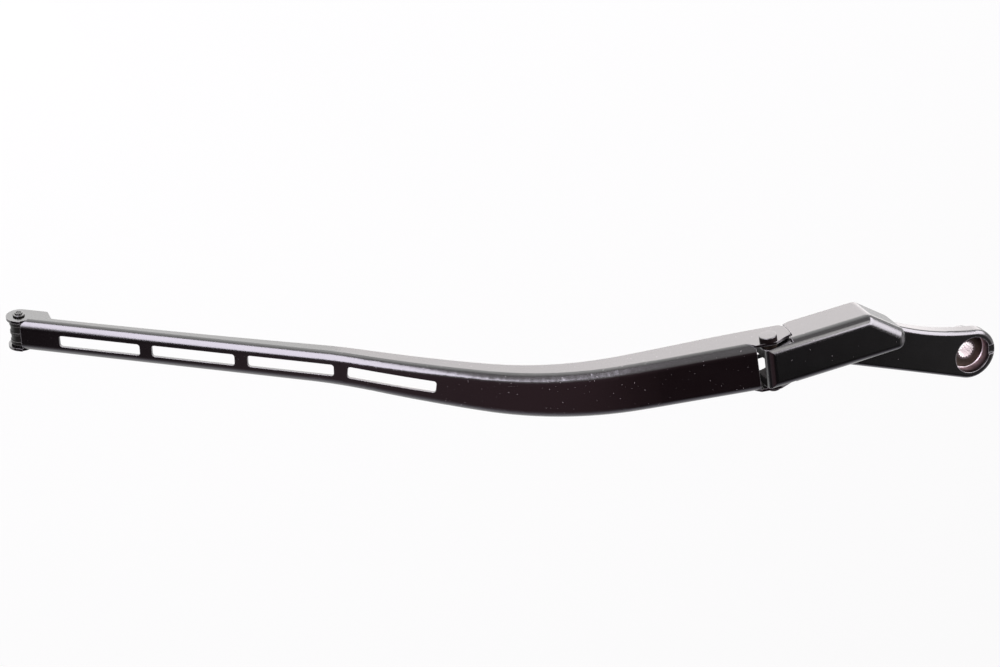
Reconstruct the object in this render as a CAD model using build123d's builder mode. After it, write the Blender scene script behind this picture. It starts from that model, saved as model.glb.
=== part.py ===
from build123d import *
import os
from math import cos, degrees, radians, sin, tan

# Windscreen wiper arm, in millimetres and degrees.
# The origin is on the spindle axis at the foot of the hub, and +Z is the spindle axis pointing outwards.
# +Y is the direction of the hinge pin, and the arm reaches towards -X and falls towards the glass.
# It is drawn as it lies off the car, with the spring pulling the arm down on its stop.

# Spindle boss of the mounting head
boss_radius = 16.4
boss_top = 20.0
boss_depth = 8.6            # flange of the boss, also the depth of the neck
hub_top_radius = 14.2
hub_foot_radius = 11.8
recess_radius = 12.0        # recess for the spindle nut
recess_depth = 8.8
spindle_radius = 5.6
seat_bevel = 0.9            # between the recess and the nut seat
rim_round = 2.6
notch_width = 6.0           # drain notch through the rim of the boss
notch_depth = 1.6
notch_angle = -1.5

# Place of the hinge pin, from the spindle axis and the foot of the hub
hinge_reach = 135.5
hinge_offset = 40.4
hinge_height = 19.6

# Knee of the mounting head, a deep channel open below, lengths from the hinge pin
knee_width = 29.9
knee_turn = 1.2             # lean of the knee in plan, towards the spindle
knee_top = 28.5
knee_foot = 3.4
knee_wall = 3.2
knee_roof = 4.5
knee_nose = 6.1             # reach past the hinge pin towards the arm
knee_length = 88.5          # reach towards the spindle
knee_shoulder = 65.5        # start of the slanted side
knee_end_width = 12.2       # flat part of the far end
knee_round = 6.0
knee_corner = 6.6
knee_rib = 2.4
cheek_length = 13.5         # thick part of the walls beside the hinge
cheek_gap = 14.0            # free room between the cheeks
lug_radius = 8.0
lug_slope_length = 21.0
cheek_width = 26.0          # across the pockets that the ears of the arm turn in
pocket_gap = 1.2            # between the point of an ear and its pocket
pocket_top_reach = 13.0
pocket_step = 2.0

# Neck between knee and boss
neck_angle = 25.0           # slope of its straight edge in plan
neck_leave = 78.0           # where its hollow edge leaves the boss, as a tangent
neck_wall = 3.4
neck_roof = 4.0

# Hinge pin and bushes
pin_radius = 2.75
pin_head_radius = 5.4
pin_head_height = 4.2
pin_round = 0.9
pin_foot_radius = 4.2
pin_foot_height = 1.5
bush_wall = 0.85
bush_flange = 1.0
bush_flange_radius = 5.6
running_gap = 0.05
rivet_gap = 0.08            # around a pin where it passes an ear
side_gap = 0.3              # beside a turning flat face

# Arm channel, one folded sheet
sheet = 1.8
bend_radius = 5.8
hinge_slope = 16.0          # fall of the face at the hinge
tip_slope = 32.5            # fall of the face along the slotted part
face_height = 5.6           # outer face above the hinge pin
face_start = 8.3            # end of the face beside the hinge, from the pin
arch_corner = 156.4         # end of the face to the corner that the arch rounds
arch_radius = 660.0
tip_run = 299.0             # that corner to the other end of the face
hinge_width = 32.2
sway_width = 31.1
slot_width_outer = 22.3
tip_width = 21.2
sway_start = 126.5          # plan bends, from the hinge pin along the tip's slope
sway_length = 127.5
first_sway = 0.25
mid_sway = 15.0
tip_sway = 9.55
sway_radius = 330.0
settle_radius = 340.0
depth_stations = [(0.0, 21.8), (70.0, 19.1), (160.0, 14.2), (250.0, 12.0), (453.0, 8.3)]

# Hinge ears, from the pin along and across the hinge end of the arm
ear_top = 4.6
ear_shoulder = 4.0
ear_reach = 14.1
ear_reach_height = -3.0
ear_heel = 12.5
ear_heel_height = -13.0
ear_toe = 9.0
ear_round = 3.0

# Tip ears, from the end of the face
tip_pivot_reach = 3.6
tip_pivot_depth = 8.3
tip_ear_radius = 8.0
tip_ear_length = 12.3
tip_ear_slant = 6.3

# Wind slots
slot_width = 7.8
slot_corner = 1.8
# middle of each slot along the face, its length, and its offset towards the upper wall
slot_stations = [(221.0, 54.8, 1.0), (282.6, 54.4, 0.6), (343.8, 53.0, 0.3), (403.4, 52.2, 0.0)]

# Spring, hook and anchor
anchor_reach = 8.0          # from the hinge pin towards the spindle
anchor_drop = 4.0
anchor_radius = 2.0
anchor_hold = 3.0           # length of the anchor pin in each cheek
hook_thick = 3.0
hook_strip = 3.5
hook_eye_radius = 4.2
hook_throat = 7.4           # depth of the C below the line of pull
hook_root = 3.0
hook_mid = 9.0
hook_lip = 17.0
hook_lip_depth = 5.5
hook_return = 26.0
hook_shank = 40.0           # anchor to the spring's eye
hook_end_radius = 3.8
hook_hole = 1.85            # hole for the spring's eye
bracket_reach = 100.0       # hinge pin to the spring's far eye
bracket_drop = 6.5
bracket_tab = 2.0
bracket_tab_margin = 3.4
bracket_foot_length = 11.0
bracket_foot_width = 16.0
bracket_foot = 1.5
spring_wire = 2.0
spring_radius = 4.0
spring_turns = 26
spring_eye_radius = 3.0     # middle of the wire in the end eyes
eye_gap = 0.45
weld_gap = 0.05

# Blade connector
rivet_radius = 2.5
rivet_head_radius = 3.7
rivet_head_height = 2.2
rivet_step = 0.9            # flange of the upper rivet head
sleeve_wall = 1.0
collar_radius = 6.3
collar_width = 2.2
barrel_radius = 5.8
thrust_radius = 5.2         # ends of the barrel, beside the ears
hub_inset = 1.0             # collars clear of the bends of the arm
rib_width = 1.6
jaw_reach = 15.5
jaw_top = 1.0
jaw_drop = 8.0
jaw_gap = 9.0
jaw_start = 8.0
jaw_roof = 3.0
jaw_round = 2.5

os.makedirs("parts", exist_ok=True)


def along(slope):
    return Vector(cos(radians(slope)), 0, sin(radians(slope)))


def across(slope):
    return Vector(-sin(radians(slope)), 0, cos(radians(slope)))


# Shared places and frames
pin = Vector(-hinge_reach, hinge_offset, hinge_height)
side_plane = Plane(origin=pin, x_dir=(1, 0, 0), z_dir=(0, -1, 0))
hinge_plane = Plane(origin=pin, x_dir=along(hinge_slope), z_dir=(0, -1, 0))
plan_plane = Plane(origin=pin, x_dir=along(tip_slope), z_dir=across(tip_slope))

# Face line of the arm in the side plane: two straight runs joined by the arch
face_end = Vector(-face_start, face_height)
hinge_turn = radians(hinge_slope)
tip_turn = radians(tip_slope)
hinge_way = Vector(-cos(hinge_turn), -sin(hinge_turn))
tip_way = Vector(-cos(tip_turn), -sin(tip_turn))
face_hinge = Vector(
    face_end.X * cos(hinge_turn) - face_end.Y * sin(hinge_turn),
    face_end.X * sin(hinge_turn) + face_end.Y * cos(hinge_turn),
)
face_corner = face_hinge + hinge_way * arch_corner
face_tip = face_corner + tip_way * tip_run
arch_turn = tip_turn - hinge_turn
arch_tangent = arch_radius * tan(arch_turn / 2)
arch_begin = arch_corner - arch_tangent
arch_length = arch_radius * arch_turn
face_length = arch_begin + arch_length + tip_run - arch_tangent


# Point of the face and its slope at a length from the hinge end
def face_point(length):
    turned = min(max(length - arch_begin, 0.0), arch_length) / arch_radius
    start = face_hinge + hinge_way * min(length, arch_begin)
    chord = 2 * arch_radius * sin(turned / 2)
    middle = hinge_turn + turned / 2
    place = start + Vector(-cos(middle), -sin(middle)) * chord
    rest = max(length - arch_begin - arch_length, 0.0)
    return place + tip_way * rest, hinge_turn + turned


# Middle line of the arm in plan, as distance from the pin and sideways offset
def plan_reach(place):
    return -(place.X * cos(tip_turn) + place.Y * sin(tip_turn))


sway_first = sway_start * tan(radians(first_sway))
sway_second = sway_first + sway_length * tan(radians(mid_sway))
tip_reach = plan_reach(face_tip)
sway_third = sway_second + (tip_reach - sway_start - sway_length) * tan(radians(tip_sway))


def plan_offset(reach):
    if reach < sway_start:
        return reach * tan(radians(first_sway)), first_sway
    if reach < sway_start + sway_length:
        return sway_first + (reach - sway_start) * tan(radians(mid_sway)), mid_sway
    return sway_second + (reach - sway_start - sway_length) * tan(radians(tip_sway)), tip_sway


# Plane on the face at a length: x along the arm to the tip, z out of the face
def face_plane(length):
    place, slope = face_point(length)
    offset_here, sway = plan_offset(plan_reach(place))
    down = along(degrees(slope)) * -cos(radians(sway))
    way = down + Vector(0, sin(radians(sway)), 0)
    spot = pin + Vector(place.X, offset_here, place.Y)
    return Plane(origin=spot, x_dir=way, z_dir=across(degrees(slope)))


tip_face = face_plane(face_length)
tip_axis = tip_face.y_dir * -1
tip_plane = Plane(origin=tip_face.origin, x_dir=tip_face.x_dir, z_dir=tip_axis)
pivot = tip_face.origin + tip_face.x_dir * tip_pivot_reach - tip_face.z_dir * tip_pivot_depth
pivot_plane = Plane(origin=pivot, x_dir=tip_face.x_dir, z_dir=tip_axis)

# Line of pull of the spring, from the anchor to the bracket
anchor = pin + Vector(anchor_reach, 0, -anchor_drop)
far_eye = pin - along(hinge_slope) * bracket_reach - across(hinge_slope) * bracket_drop
pull = (far_eye - anchor).normalized()
pull_length = (far_eye - anchor).length
pull_plane = Plane(origin=anchor, x_dir=pull, z_dir=(0, -1, 0))

# Widths across the hinge
ear_inside = hinge_width / 2 - sheet
cheek_outside = cheek_width / 2
bush_radius = pin_radius + running_gap + bush_wall
bush_face = ear_inside - side_gap


# Plane of the knee's plan at a height, with the hinge pin at its origin
def knee_plane(height):
    lean = radians(knee_turn)
    return Plane(origin=(pin.X, pin.Y, height), x_dir=(cos(lean), -sin(lean), 0))


# Knee outline in plan
def knee_outline():
    knee_side = knee_width / 2
    FilletPolyline(
        (-knee_nose, -knee_side),
        (knee_length, -knee_side),
        (knee_length, knee_end_width - knee_side),
        (knee_shoulder, knee_side),
        (-knee_nose, knee_side),
        radius=[0, knee_corner, knee_corner, knee_corner, 0],
        close=True,
    )


# Neck outline in plan: straight tangent edge below, hollow edge above, root inside the knee
neck_tangent = Vector(-sin(radians(neck_angle)), -cos(radians(neck_angle))) * boss_radius
neck_run = (pin.Y - knee_width / 2 + knee_wall - neck_tangent.Y) / sin(radians(neck_angle))
neck_foot = neck_tangent + Vector(-cos(radians(neck_angle)), sin(radians(neck_angle))) * neck_run
neck_top = Vector(cos(radians(neck_leave)), sin(radians(neck_leave))) * boss_radius
knee_end = knee_plane(0).from_local_coords(Vector(knee_length, knee_end_width - knee_width / 2))
neck_root = Vector(knee_end.X - 2 * knee_corner, knee_end.Y + 1.25 * knee_corner)


def neck_outline():
    Polyline(neck_top, neck_tangent, neck_foot, (neck_foot.X, neck_root.Y), neck_root)
    TangentArc(neck_top, neck_root, tangent=(-sin(radians(neck_leave)), cos(radians(neck_leave))))


# Mounting head, one casting
with BuildPart() as mounting_head:
    with BuildSketch(Plane.XZ):
        with BuildLine():
            Polyline(
                (0, 0),
                (hub_foot_radius, 0),
                (hub_top_radius, boss_top - boss_depth),
                (boss_radius, boss_top - boss_depth),
                (boss_radius, boss_top),
                (0, boss_top),
                close=True,
            )
        make_face()
    revolve(axis=Axis.Z)
    with BuildSketch(Plane.XY.offset(boss_top - boss_depth)):
        with BuildLine():
            neck_outline()
        make_face()
    extrude(amount=boss_depth)
    fillet(mounting_head.edges().group_by(Axis.Z)[-1], radius=rim_round)
    # Underside of the neck
    with BuildSketch(Plane.XY.offset(boss_top - boss_depth)):
        with BuildLine():
            neck_outline()
        make_face()
        offset(amount=-neck_wall, mode=Mode.REPLACE)
        Circle(boss_radius, mode=Mode.SUBTRACT)
    extrude(amount=boss_depth - neck_roof, mode=Mode.SUBTRACT)
    # Knee, with a hollow below and a rib across its middle
    with BuildSketch(knee_plane(knee_foot)):
        with BuildLine():
            knee_outline()
        make_face()
    extrude(amount=knee_top - knee_foot)
    fillet(mounting_head.edges().group_by(Axis.Z)[-1], radius=knee_round)
    with BuildSketch(knee_plane(0)):
        with BuildLine():
            knee_outline()
        make_face()
        offset(amount=-knee_wall, mode=Mode.REPLACE)
        with Locations((-knee_nose, 0)):
            Rectangle(2 * (knee_nose + cheek_length), knee_width, mode=Mode.SUBTRACT)
        with Locations((knee_shoulder / 2 + cheek_length, 0)):
            Rectangle(knee_rib, knee_width, mode=Mode.SUBTRACT)
    extrude(amount=knee_top - knee_roof, mode=Mode.SUBTRACT)
    # Room between the cheeks
    with BuildSketch(Plane(origin=(pin.X, pin.Y, 0))):
        with Locations((cheek_length + knee_rib, 0)):
            Rectangle(2 * (knee_nose + cheek_length), cheek_gap, align=(Align.MAX, Align.CENTER))
    extrude(amount=knee_top - knee_roof, mode=Mode.SUBTRACT)
    # Nut recess and spindle bore
    bore_floor = boss_top - recess_depth
    with BuildSketch(Plane.XZ):
        with BuildLine():
            Polyline(
                (0, 0),
                (spindle_radius, 0),
                (spindle_radius, bore_floor),
                (recess_radius - seat_bevel, bore_floor),
                (recess_radius, bore_floor + seat_bevel),
                (recess_radius, boss_top),
                (0, boss_top),
                close=True,
            )
        make_face()
    revolve(axis=Axis.Z, mode=Mode.SUBTRACT)
    # Drain notch in the rim
    notch_way = Vector(cos(radians(notch_angle)), sin(radians(notch_angle)), 0)
    with BuildSketch(Plane(origin=(0, 0, boss_top), x_dir=notch_way)):
        with Locations((boss_radius, 0)):
            Rectangle(boss_radius, notch_width)
    extrude(amount=-notch_depth, mode=Mode.SUBTRACT)
    # Lug below the hinge, cut from the foot of the cheeks
    with BuildSketch(side_plane):
        with BuildLine():
            FilletPolyline(
                (-knee_nose - lug_radius, -lug_radius),
                (-knee_nose / 2, -lug_radius),
                (lug_slope_length, knee_foot - hinge_height),
                (lug_slope_length, -2 * hinge_height),
                (-knee_nose - lug_radius, -2 * hinge_height),
                radius=[0, lug_radius, 0, 0, 0],
                close=True,
            )
        make_face()
    extrude(amount=knee_width, both=True, mode=Mode.SUBTRACT)
    # Pockets for the ears of the arm, which follow the point of the ear
    ear_point = side_plane.to_local_coords(hinge_plane.from_local_coords(Vector(ear_reach, ear_reach_height)))
    ear_back = side_plane.to_local_coords(hinge_plane.from_local_coords(Vector(ear_heel, ear_heel_height)))
    for face_offset in (-cheek_outside - knee_wall, cheek_outside):
        with BuildSketch(side_plane.offset(face_offset)):
            with BuildLine():
                Polyline(
                    (-2 * knee_nose, knee_top - hinge_height),
                    (pocket_top_reach, knee_top - hinge_height),
                    (pocket_top_reach, ear_point.Y + pocket_step),
                    (ear_point.X + pocket_gap, ear_point.Y),
                    (ear_back.X + pocket_gap, ear_back.Y),
                    (ear_back.X + pocket_gap, -hinge_height),
                    (-2 * knee_nose, -hinge_height),
                    close=True,
                )
            make_face()
        extrude(amount=knee_wall, mode=Mode.SUBTRACT)
    # Bores for the bushes and the anchor pin
    with BuildSketch(side_plane):
        Circle(bush_radius)
    extrude(amount=knee_width, both=True, mode=Mode.SUBTRACT)
    with BuildSketch(side_plane):
        with Locations((anchor_reach, -anchor_drop)):
            Circle(anchor_radius)
    extrude(amount=cheek_gap / 2 + anchor_hold, both=True, mode=Mode.SUBTRACT)
mounting_head.part.label = "mounting_head"
export_step(mounting_head.part, "parts/mounting_head.step")


# Flanged bush, from its flange inwards
def make_bush(side):
    bush_plane = Plane(origin=pin + Vector(0, side * bush_face, 0), x_dir=(1, 0, 0), z_dir=(0, -side, 0))
    with BuildPart() as bush:
        with BuildSketch(bush_plane):
            Circle(bush_flange_radius)
        extrude(amount=bush_face - cheek_outside)
        with BuildSketch(bush_plane):
            Circle(bush_radius)
        extrude(amount=bush_face - cheek_gap / 2)
        with BuildSketch(bush_plane):
            Circle(pin_radius + running_gap)
        extrude(amount=bush_face - cheek_gap / 2, mode=Mode.SUBTRACT)
    return bush.part


for bush_name, bush_side in (("hinge_bush_upper", 1), ("hinge_bush_lower", -1)):
    bush_solid = make_bush(bush_side)
    bush_solid.label = bush_name
    export_step(bush_solid, f"parts/{bush_name}.step")

with BuildPart() as spring_anchor_pin:
    with BuildSketch(side_plane):
        with Locations((anchor_reach, -anchor_drop)):
            Circle(anchor_radius)
    extrude(amount=cheek_gap / 2 + anchor_hold, both=True)
spring_anchor_pin.part.label = "spring_anchor_pin"
export_step(spring_anchor_pin.part, "parts/spring_anchor_pin.step")


# Closed outline of the arm in plan, run past both ends of the face by a length
def arm_outline(overrun):
    turn = radians(tip_sway)
    end_way = Vector(-cos(turn), sin(turn))
    end_side = Vector(sin(turn), cos(turn)) * tip_width / 2
    end = Vector(-tip_reach, sway_third) + end_way * overrun
    second = -sway_start - sway_length
    FilletPolyline(
        (overrun, hinge_width / 2),
        (-face_start, hinge_width / 2),
        (-sway_start, sway_first + sway_width / 2),
        (second, sway_second + slot_width_outer / 2),
        end + end_side,
        end - end_side,
        (second, sway_second - slot_width_outer / 2),
        (-sway_start, sway_first - sway_width / 2),
        (-face_start, -hinge_width / 2),
        (overrun, -hinge_width / 2),
        radius=[0, sway_radius, sway_radius, settle_radius, 0, 0, settle_radius, sway_radius, sway_radius, 0],
        close=True,
    )


# Closed side outline of the arm, run past both ends and deepened by a length
def arm_profile(overrun, deeper):
    start = face_hinge - hinge_way * overrun
    end = face_tip + tip_way * (overrun + tip_width / 2)
    FilletPolyline(start, face_corner, end, radius=arch_radius)
    foot = []
    for length, depth in depth_stations:
        place, slope = face_point(length)
        foot.append(place + Vector(sin(slope), -cos(slope)) * (depth + deeper))
    tip_foot = end + Vector(sin(tip_turn), -cos(tip_turn)) * (depth_stations[-1][1] + deeper)
    hinge_foot = start + Vector(sin(hinge_turn), -cos(hinge_turn)) * (depth_stations[0][1] + deeper)
    Line(end, tip_foot)
    Line(tip_foot, foot[-1])
    Spline(*reversed(foot), tangents=(tip_way * -1, hinge_way * -1))
    if overrun > 0:
        Line(foot[0], hinge_foot)
    Line(hinge_foot, start)


# Edges along the arm where its face turns down into the walls
def bend_edges(part):
    face_edges = part.faces().filter_by(lambda face: face.normal_at().Z > 0.6).edges()
    return face_edges.filter_by(lambda edge: abs((edge @ 1 - edge @ 0).normalized().Y) < 0.7)


# Solid inside the channel, which makes its walls one sheet thick
core_margin = 30.0
with BuildPart() as channel_core:
    with BuildSketch(plan_plane):
        with BuildLine():
            arm_outline(core_margin)
        make_face()
        offset(amount=-sheet, mode=Mode.REPLACE)
    extrude(amount=arch_radius / 2, both=True)
    with BuildSketch(side_plane):
        with BuildLine():
            arm_profile(core_margin, core_margin)
        make_face()
        offset(amount=-sheet, mode=Mode.REPLACE)
    extrude(amount=arch_radius / 2, both=True, mode=Mode.INTERSECT)
    fillet(bend_edges(channel_core), radius=bend_radius - sheet)

# Arm channel
with BuildPart() as arm_channel:
    with BuildSketch(plan_plane):
        with BuildLine():
            arm_outline(0)
        make_face()
    extrude(amount=arch_radius / 2, both=True)
    with BuildSketch(side_plane):
        with BuildLine():
            arm_profile(0, 0)
        make_face()
    extrude(amount=arch_radius / 2, both=True, mode=Mode.INTERSECT)
    fillet(bend_edges(arm_channel), radius=bend_radius)
    add(channel_core.part, mode=Mode.SUBTRACT)
    # Wind slots
    for slot_middle, slot_length, slot_offset in slot_stations:
        with BuildSketch(face_plane(slot_middle)):
            with Locations((0, -slot_offset)):
                RectangleRounded(slot_length, slot_width, slot_corner)
        extrude(amount=2 * sheet, both=True, mode=Mode.SUBTRACT)
    # Hinge ears
    hinge_depth = depth_stations[0][1]
    for ear_offset in (-hinge_width / 2, hinge_width / 2 - sheet):
        with BuildSketch(hinge_plane.offset(ear_offset)):
            with BuildLine():
                FilletPolyline(
                    (-face_start - bend_radius, face_height - bend_radius),
                    (-face_start, ear_top),
                    (ear_shoulder, ear_top),
                    (ear_reach, ear_reach_height),
                    (ear_heel, ear_heel_height),
                    (ear_toe, face_height - hinge_depth),
                    (-face_start - bend_radius, face_height - hinge_depth),
                    radius=[0, 0, ear_round, sheet / 2, ear_round, ear_round, 0],
                    close=True,
                )
            make_face()
            Circle(pin_radius + rivet_gap, mode=Mode.SUBTRACT)
        extrude(amount=sheet)
    # Tip ears
    ear_foot = tip_pivot_depth + tip_ear_radius
    wall_foot = depth_stations[-1][1]
    for ear_offset in (-tip_width / 2, tip_width / 2 - sheet):
        with BuildSketch(tip_plane.offset(ear_offset)):
            with BuildLine():
                Polyline(
                    (tip_pivot_reach, -tip_pivot_depth),
                    (tip_pivot_reach, -ear_foot),
                    (-tip_ear_length, -ear_foot),
                    (-tip_ear_length - tip_ear_slant, -wall_foot + sheet / 2),
                    (-tip_ear_length - tip_ear_slant, -bend_radius),
                    (0, -bend_radius),
                    (0, tip_ear_radius - tip_pivot_depth),
                    (tip_pivot_reach, tip_ear_radius - tip_pivot_depth),
                    close=True,
                )
            make_face()
            with Locations((tip_pivot_reach, -tip_pivot_depth)):
                Circle(tip_ear_radius)
                Circle(rivet_radius + rivet_gap, mode=Mode.SUBTRACT)
        extrude(amount=sheet)
arm_channel.part.label = "arm_channel"
export_step(arm_channel.part, "parts/arm_channel.step")

# Hinge pin: thick head on the upper ear, riveted foot on the lower ear
with BuildPart() as hinge_pin:
    with BuildSketch(side_plane.offset(-hinge_width / 2 - pin_head_height)):
        Circle(pin_head_radius)
    extrude(amount=pin_head_height)
    chamfer(hinge_pin.edges().sort_by(Axis.Y)[-1], length=pin_round)
    with BuildSketch(side_plane.offset(-hinge_width / 2)):
        Circle(pin_radius)
    extrude(amount=hinge_width)
    with BuildSketch(side_plane.offset(hinge_width / 2)):
        Circle(pin_foot_radius)
    extrude(amount=pin_foot_height)
    chamfer(hinge_pin.edges().sort_by(Axis.Y)[0], length=pin_foot_height / 2)
hinge_pin.part.label = "hinge_pin"
export_step(hinge_pin.part, "parts/hinge_pin.step")

# Spring hook: a stamped C that lets the hinge pin pass as the arm is lifted
with BuildPart() as spring_hook:
    with BuildSketch(pull_plane.offset(-hook_thick / 2)):
        with BuildLine():
            FilletPolyline(
                (0, 0),
                (hook_root, hook_throat - hook_strip / 2),
                (hook_mid, hook_throat),
                (hook_lip, hook_lip_depth),
                (hook_return, 0),
                (hook_shank, 0),
                radius=hook_eye_radius,
            )
        trace(line_width=hook_strip)
        Circle(hook_eye_radius)
        with Locations((hook_shank, 0)):
            Circle(hook_end_radius)
        Circle(anchor_radius + running_gap, mode=Mode.SUBTRACT)
        with Locations((hook_shank, 0)):
            Circle(hook_hole, mode=Mode.SUBTRACT)
    extrude(amount=hook_thick)
spring_hook.part.label = "spring_hook"
export_step(spring_hook.part, "parts/spring_hook.step")

# Tension spring: ridged body of the close-wound turns, and an eye at each end
near_eye = hook_shank + spring_eye_radius
last_eye = pull_length - spring_eye_radius
coil_length = spring_turns * spring_wire
coil_start = (near_eye + last_eye - coil_length) / 2
coil_end = coil_start + coil_length
with BuildPart() as tension_spring:
    ridge = [(spring_radius - spring_wire, coil_start), (spring_radius - spring_wire / 2, coil_start)]
    for turn_index in range(spring_turns):
        turn_start = coil_start + turn_index * spring_wire
        ridge.append((spring_radius, turn_start + spring_wire / 2))
        ridge.append((spring_radius - spring_wire / 2, turn_start + spring_wire))
    ridge.append((spring_radius - spring_wire, coil_end))
    with BuildSketch(Plane(origin=anchor, x_dir=(0, 1, 0), z_dir=pull.cross(Vector(0, 1, 0)) * -1)):
        with BuildLine():
            Polyline(*ridge, close=True)
        make_face()
    revolve(axis=Axis(anchor, pull))
    for eye_middle, coil_face, way in ((near_eye, coil_start, 1), (last_eye, coil_end, -1)):
        eye_centre = anchor + pull * eye_middle
        with BuildSketch(Plane(origin=eye_centre + pull * spring_eye_radius, x_dir=pull, z_dir=(0, 1, 0))):
            RegularPolygon(spring_wire / 2, 8)
        revolve(axis=Axis(eye_centre, pull.cross(Vector(0, 1, 0))))
        leg_start = spring_eye_radius - spring_wire / 8
        leg_end = abs(coil_face - eye_middle) + spring_wire / 2
        leg_place = eye_centre + pull * way * leg_start
        with BuildSketch(Plane(origin=leg_place, x_dir=(0, 1, 0), z_dir=pull * way)):
            Rectangle(2 * spring_radius - spring_wire, spring_wire)
        extrude(amount=leg_end - leg_start)
tension_spring.part.label = "tension_spring"
export_step(tension_spring.part, "parts/tension_spring.step")

# Spring bracket: foot under the face and a tab along the arm with the spring's hole
bracket_line = bracket_reach - face_start
bracket_spot, bracket_slope = face_point(bracket_line)
bracket_origin = pin + Vector(bracket_spot.X, 0, bracket_spot.Y)
bracket_side = Plane(origin=bracket_origin, x_dir=along(degrees(bracket_slope)), z_dir=(0, -1, 0))
eye_local = bracket_side.to_local_coords(far_eye)
foot_top = -sheet - weld_gap
with BuildPart() as spring_bracket:
    with BuildSketch(bracket_side.offset(-bracket_foot_width / 2)):
        with Locations((eye_local.X, foot_top)):
            Rectangle(bracket_foot_length, bracket_foot, align=(Align.CENTER, Align.MAX))
    extrude(amount=bracket_foot_width)
    with BuildSketch(bracket_side.offset(-bracket_tab / 2)):
        with BuildLine():
            FilletPolyline(
                (eye_local.X - bracket_tab_margin, foot_top),
                (eye_local.X + bracket_tab_margin, foot_top),
                (eye_local.X + bracket_tab_margin, eye_local.Y - bracket_tab_margin),
                (eye_local.X - bracket_tab_margin, eye_local.Y - bracket_tab_margin),
                radius=[0, 0, bracket_tab_margin / 2, bracket_tab_margin / 2],
                close=True,
            )
        make_face()
        with Locations((eye_local.X, eye_local.Y)):
            Circle(spring_wire / 2 + eye_gap, mode=Mode.SUBTRACT)
    extrude(amount=bracket_tab)
spring_bracket.part.label = "spring_bracket"
export_step(spring_bracket.part, "parts/spring_bracket.step")

# Rivet across the tip ears, with a rolled head on each side
with BuildPart() as connector_rivet:
    with BuildSketch(Plane(origin=pivot, x_dir=tip_face.x_dir, z_dir=tip_face.z_dir)):
        with BuildLine():
            half = tip_width / 2
            Polyline(
                (0, half + rivet_step),
                (rivet_radius / 3, half + rivet_step),
                (rivet_radius / 2, half + rivet_head_height),
                (rivet_radius, half + rivet_head_height),
                (rivet_radius + rivet_step / 2, half + rivet_step + rivet_step / 2),
                (rivet_radius + rivet_step / 2, half + rivet_step),
                (rivet_head_radius, half + rivet_step),
                (rivet_head_radius, half),
                (rivet_radius, half),
                (rivet_radius, -half),
                (rivet_head_radius, -half),
                (rivet_head_radius, -half - rivet_head_height / 2),
                (rivet_head_radius - rivet_head_height / 4, -half - rivet_head_height),
                (0, -half - rivet_head_height),
                close=True,
            )
        make_face()
    revolve(axis=Axis(pivot, tip_axis))
connector_rivet.part.label = "connector_rivet"
export_step(connector_rivet.part, "parts/connector_rivet.step")

# Spacer tube on the rivet, between the ears
tip_inside = tip_width - 2 * sheet
sleeve_radius = rivet_radius + rivet_gap + sleeve_wall
with BuildPart() as connector_sleeve:
    with BuildSketch(pivot_plane.offset(-tip_inside / 2)):
        Circle(sleeve_radius)
        Circle(rivet_radius + rivet_gap, mode=Mode.SUBTRACT)
    extrude(amount=tip_inside)
connector_sleeve.part.label = "connector_sleeve"
export_step(connector_sleeve.part, "parts/connector_sleeve.step")

# Blade connector: ribbed barrel on the sleeve, and a forked jaw behind it
connector_width = tip_inside - 2 * side_gap
with BuildPart() as blade_connector:
    with BuildSketch(pivot_plane.offset(-connector_width / 2)):
        with BuildLine():
            FilletPolyline(
                (0, jaw_top),
                (-jaw_reach, jaw_top),
                (-jaw_reach, -jaw_drop),
                (0, -jaw_drop),
                radius=[0, jaw_round, jaw_round, 0],
                close=True,
            )
        make_face()
    extrude(amount=connector_width)
    with BuildSketch(pivot_plane.offset(-jaw_gap / 2)):
        with Locations((-jaw_start, jaw_top - jaw_roof)):
            Rectangle(jaw_reach, 2 * jaw_drop, align=(Align.MAX, Align.MAX))
    extrude(amount=jaw_gap, mode=Mode.SUBTRACT)
    with BuildSketch(pivot_plane.offset(-connector_width / 2)):
        Circle(thrust_radius)
    extrude(amount=connector_width)
    hub_width = connector_width - 2 * hub_inset
    with BuildSketch(pivot_plane.offset(-hub_width / 2)):
        Circle(barrel_radius)
    extrude(amount=hub_width)
    rib_places = (-hub_width / 2, -rib_width / 2, hub_width / 2 - collar_width)
    for rib_start, rib_length in zip(rib_places, (collar_width, rib_width, collar_width)):
        with BuildSketch(pivot_plane.offset(rib_start)):
            Circle(collar_radius)
        extrude(amount=rib_length)
    with BuildSketch(pivot_plane.offset(-connector_width / 2)):
        Circle(sleeve_radius + running_gap)
    extrude(amount=connector_width, mode=Mode.SUBTRACT)
blade_connector.part.label = "blade_connector"
export_step(blade_connector.part, "parts/blade_connector.step")

print("hinge pin", pin)
print("spring anchor", anchor, "line of pull", pull, "length", round(pull_length, 2))
print("connector pivot", pivot, "axis", tip_axis)
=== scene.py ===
import math
import bmesh
import bpy
import numpy as np
from mathutils import Matrix, Quaternion, Vector


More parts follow.
